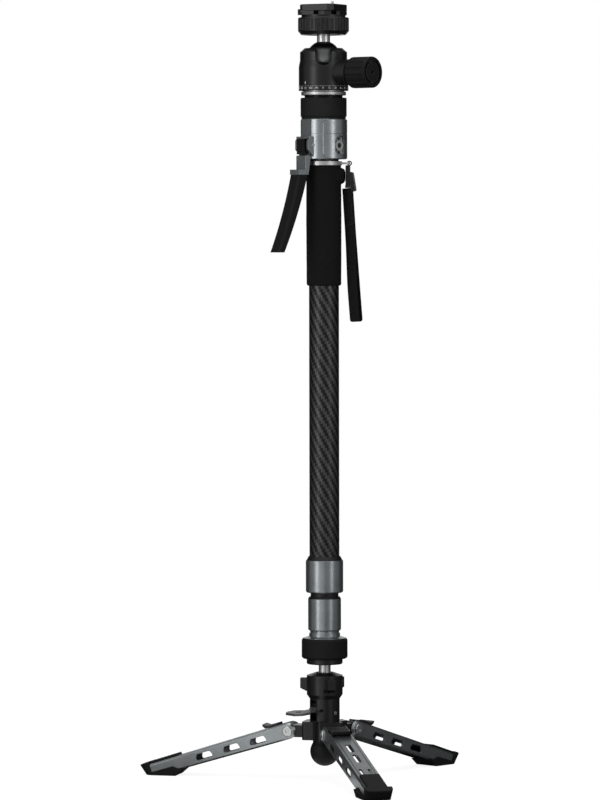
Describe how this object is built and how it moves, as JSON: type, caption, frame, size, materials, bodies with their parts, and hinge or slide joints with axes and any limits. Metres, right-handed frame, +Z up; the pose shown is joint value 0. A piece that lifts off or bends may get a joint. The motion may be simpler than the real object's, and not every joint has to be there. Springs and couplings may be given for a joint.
{
  "type": "camera monopod",
  "caption": "Collapsible camera monopod with a carbon pole, squeeze-lever release, ball head, quick-release plate and a folding footed base with a tilting ball.",
  "frame": {"origin": "centre of the footprint on the ground, between the feet; the pole axis stands at +42.5 mm Y", "axes": "+Z up along the pole; -Y towards the front leg"},
  "size_m": [0.3378, 0.2942, 0.7771],
  "materials": {
    "leg_alloy": "satin grey anodised",
    "black_alloy": "satin black anodised",
    "black_latch": "moulded",
    "rubber": "moulded, slightly textured",
    "steel": "turned",
    "silver_alloy": "turned, bright",
    "grey_alloy": "satin grey anodised",
    "carbon": "carbon fibre twill under clear resin",
    "black_plastic": "moulded",
    "foam": "fine closed-cell foam",
    "webbing": "woven polyester webbing",
    "rod_alloy": "drawn tube",
    "head_black": "fine satin black anodised",
    "ball_black": "polished hard anodised"
  },
  "bodies": {
    "base": {"leg_hub": "black_alloy", "ball_foot": "rubber", "leg_pivot_pins": "steel", "pedal_column": "black_alloy", "column_set_screw": "steel", "pedal_pin": "steel", "ball_housing": "black_alloy", "housing_cap": "black_alloy"},
    "leg_front": {"leg_channel_front": "leg_alloy", "leg_shoe_front": "rubber"},
    "latch_front": {"leg_latch_front": "black_latch"},
    "leg_right": {"leg_channel_right": "leg_alloy", "leg_shoe_right": "rubber"},
    "latch_right": {"leg_latch_right": "black_latch"},
    "leg_left": {"leg_channel_left": "leg_alloy", "leg_shoe_left": "rubber"},
    "latch_left": {"leg_latch_left": "black_latch"},
    "pedal": {"pedal": "grey_alloy"},
    "plunger": {"brake_plunger": "steel"},
    "base_cup": {"base_ball_cup": "black_plastic"},
    "base_ball": {"base_ball": "steel"},
    "lower_section": {"stem_disc": "black_alloy", "foot_fitting": "grey_alloy", "lower_tube": "carbon", "lower_tube_lock": "black_plastic"},
    "twist_ring": {"base_ring": "rubber"},
    "mid_section": {"mid_tube": "carbon", "mid_collar": "grey_alloy", "mid_collar_seal": "black_plastic", "mid_tube_lock": "black_plastic"},
    "upper_section": {"upper_tube": "carbon", "upper_collar": "grey_alloy", "upper_collar_seal": "black_plastic", "foam_grip": "foam", "strap_ring": "silver_alloy", "handle_shell": "grey_alloy", "handle_cover": "grey_alloy", "accessory_insert": "steel", "lever_pin": "steel", "rod_spring": "steel", "head_seat_ring": "silver_alloy", "scale_ring": "head_black"},
    "strap": {"strap_slider": "black_plastic", "strap_webbing": "webbing"},
    "lever": {"lever_arm": "grey_alloy", "lever_grip": "rubber"},
    "thumb_lock": {"thumb_lock": "black_plastic"},
    "release_rod": {"release_rod": "rod_alloy"},
    "lock_ring": {"head_lock_ring": "head_black"},
    "head": {"head_body": "head_black"},
    "knob": {"knob_core": "head_black", "knob_rubber": "rubber"},
    "head_cup": {"head_ball_cup": "black_plastic"},
    "head_ball": {"head_ball": "ball_black"},
    "clamp": {"qr_base": "head_black"},
    "clamp_ring": {"qr_lock_ring": "head_black"},
    "safety_button": {"safety_button": "black_plastic"},
    "plate": {"camera_plate": "head_black", "anti_twist_pin": "steel"},
    "camera_screw": {"camera_screw": "steel"}
  },
  "joints": [
    {"name": "leg_fold_front", "type": "hinge", "parent": "base", "child": "leg_front", "pos_m": [0, 0.00706, 0.04795], "axis": [-1, 0, 0], "range_deg": [0, 103]},
    {"name": "latch_slide_front", "type": "slide", "parent": "leg_front", "child": "latch_front", "axis": [0, -0.9588, -0.284], "range_m": [0, 0.003], "stiffness_N_per_m": 300, "springref_m": -0.001},
    {"name": "leg_fold_right", "type": "hinge", "parent": "base", "child": "leg_right", "pos_m": [0.03074, 0.06031, 0.04795], "axis": [0.5, -0.866, 0], "range_deg": [0, 103]},
    {"name": "latch_slide_right", "type": "slide", "parent": "leg_right", "child": "latch_right", "axis": [0.8304, 0.4794, -0.284], "range_m": [0, 0.003], "stiffness_N_per_m": 300, "springref_m": -0.001},
    {"name": "leg_fold_left", "type": "hinge", "parent": "base", "child": "leg_left", "pos_m": [-0.03074, 0.06031, 0.04795], "axis": [0.5, 0.866, 0], "range_deg": [0, 103]},
    {"name": "latch_slide_left", "type": "slide", "parent": "leg_left", "child": "latch_left", "axis": [-0.8304, 0.4794, -0.284], "range_m": [0, 0.003], "stiffness_N_per_m": 300, "springref_m": -0.001},
    {"name": "pedal_press", "type": "hinge", "parent": "base", "child": "pedal", "pos_m": [-0.01077, 0.03853, 0.06955], "axis": [0.3502, -0.9367, 0], "range_deg": [0, 11], "stiffness_Nm_per_rad": 0.5, "springref_deg": -5.73},
    {"name": "plunger_lift", "type": "slide", "parent": "base", "child": "plunger", "axis": [0, 0, 1], "range_m": [0, 0.0015]},
    {"name": "base_tilt_side", "type": "hinge", "parent": "base", "child": "base_cup", "pos_m": [0, 0.04256, 0.09395], "axis": [-0.2588, 0.9659, 0], "range_deg": [-8, 8]},
    {"name": "base_tilt_front", "type": "hinge", "parent": "base_cup", "child": "base_ball", "pos_m": [0, 0.04256, 0.09395], "axis": [0.9659, 0.2588, 0], "range_deg": [-8, 8]},
    {"name": "base_pan", "type": "hinge", "parent": "base_ball", "child": "lower_section", "pos_m": [0, 0.04256, 0.09395], "axis": [0, 0, 1], "continuous": true},
    {"name": "twist_ring_turn", "type": "hinge", "parent": "lower_section", "child": "twist_ring", "pos_m": [0, 0.04256, 0.12095], "axis": [0, 0, 1], "range_deg": [0, 180]},
    {"name": "mid_section_slide", "type": "slide", "parent": "lower_section", "child": "mid_section", "axis": [0, 0, 1], "range_m": [0, 0.36]},
    {"name": "upper_section_slide", "type": "slide", "parent": "mid_section", "child": "upper_section", "axis": [0, 0, 1], "range_m": [0, 0.36]},
    {"name": "strap_swing", "type": "hinge", "parent": "upper_section", "child": "strap", "pos_m": [0.02383, 0.03293, 0.61595], "axis": [-0.3746, -0.9272, 0], "range_deg": [0, 120]},
    {"name": "lever_squeeze", "type": "hinge", "parent": "upper_section", "child": "lever", "pos_m": [-0.02, 0.03468, 0.63395], "axis": [0.3665, -0.9304, 0], "range_deg": [0, 12], "stiffness_Nm_per_rad": 2, "springref_deg": -5.73},
    {"name": "thumb_lock_slide", "type": "slide", "parent": "upper_section", "child": "thumb_lock", "axis": [0.3665, -0.9304, 0], "range_m": [0, 0.003]},
    {"name": "rod_lift", "type": "slide", "parent": "upper_section", "child": "release_rod", "axis": [0, 0, 1], "range_m": [0, 0.0032], "deforming": ["rod_spring"]},
    {"name": "lock_ring_turn", "type": "hinge", "parent": "upper_section", "child": "lock_ring", "pos_m": [0, 0.04256, 0.66025], "axis": [0, 0, 1], "range_deg": [0, 60]},
    {"name": "head_pan", "type": "hinge", "parent": "upper_section", "child": "head", "pos_m": [0, 0.04256, 0.69335], "axis": [0, 0, 1], "continuous": true},
    {"name": "knob_turn", "type": "hinge", "parent": "head", "child": "knob", "pos_m": [0.02152, 0.01124, 0.70535], "axis": [0.5664, -0.8241, 0], "range_deg": [0, 300]},
    {"name": "head_tilt_side", "type": "hinge", "parent": "head", "child": "head_cup", "pos_m": [0, 0.04256, 0.72105], "axis": [-0.284, -0.9588, 0], "range_deg": [-9, 9]},
    {"name": "head_tilt", "type": "hinge", "parent": "head_cup", "child": "head_ball", "pos_m": [0, 0.04256, 0.72105], "axis": [0.9588, -0.284, 0], "range_deg": [-30, 65]},
    {"name": "clamp_turn", "type": "hinge", "parent": "head_ball", "child": "clamp", "pos_m": [0, 0.04256, 0.74375], "axis": [0, 0, 1], "continuous": true},
    {"name": "clamp_ring_turn", "type": "hinge", "parent": "clamp", "child": "clamp_ring", "pos_m": [0, 0.04256, 0.74375], "axis": [0, 0, 1], "range_deg": [0, 40]},
    {"name": "safety_button_press", "type": "slide", "parent": "clamp", "child": "safety_button", "axis": [1, 0.0087, 0], "range_m": [0, 0.0008], "stiffness_N_per_m": 300, "springref_m": -0.001},
    {"name": "plate_lift", "type": "slide", "parent": "clamp", "child": "plate", "axis": [0, 0, 1], "range_m": [0, 0.03]},
    {"name": "camera_screw_rise", "type": "slide", "parent": "plate", "child": "camera_screw", "axis": [0, 0, 1], "range_m": [0, 0.0046]}
  ],
  "couplings": [
    {"joint": "plunger_lift", "follows": "pedal_press", "m_per_rad": 0.0076},
    {"joint": "rod_lift", "follows": "lever_squeeze", "m_per_rad": 0.015}
  ]
}
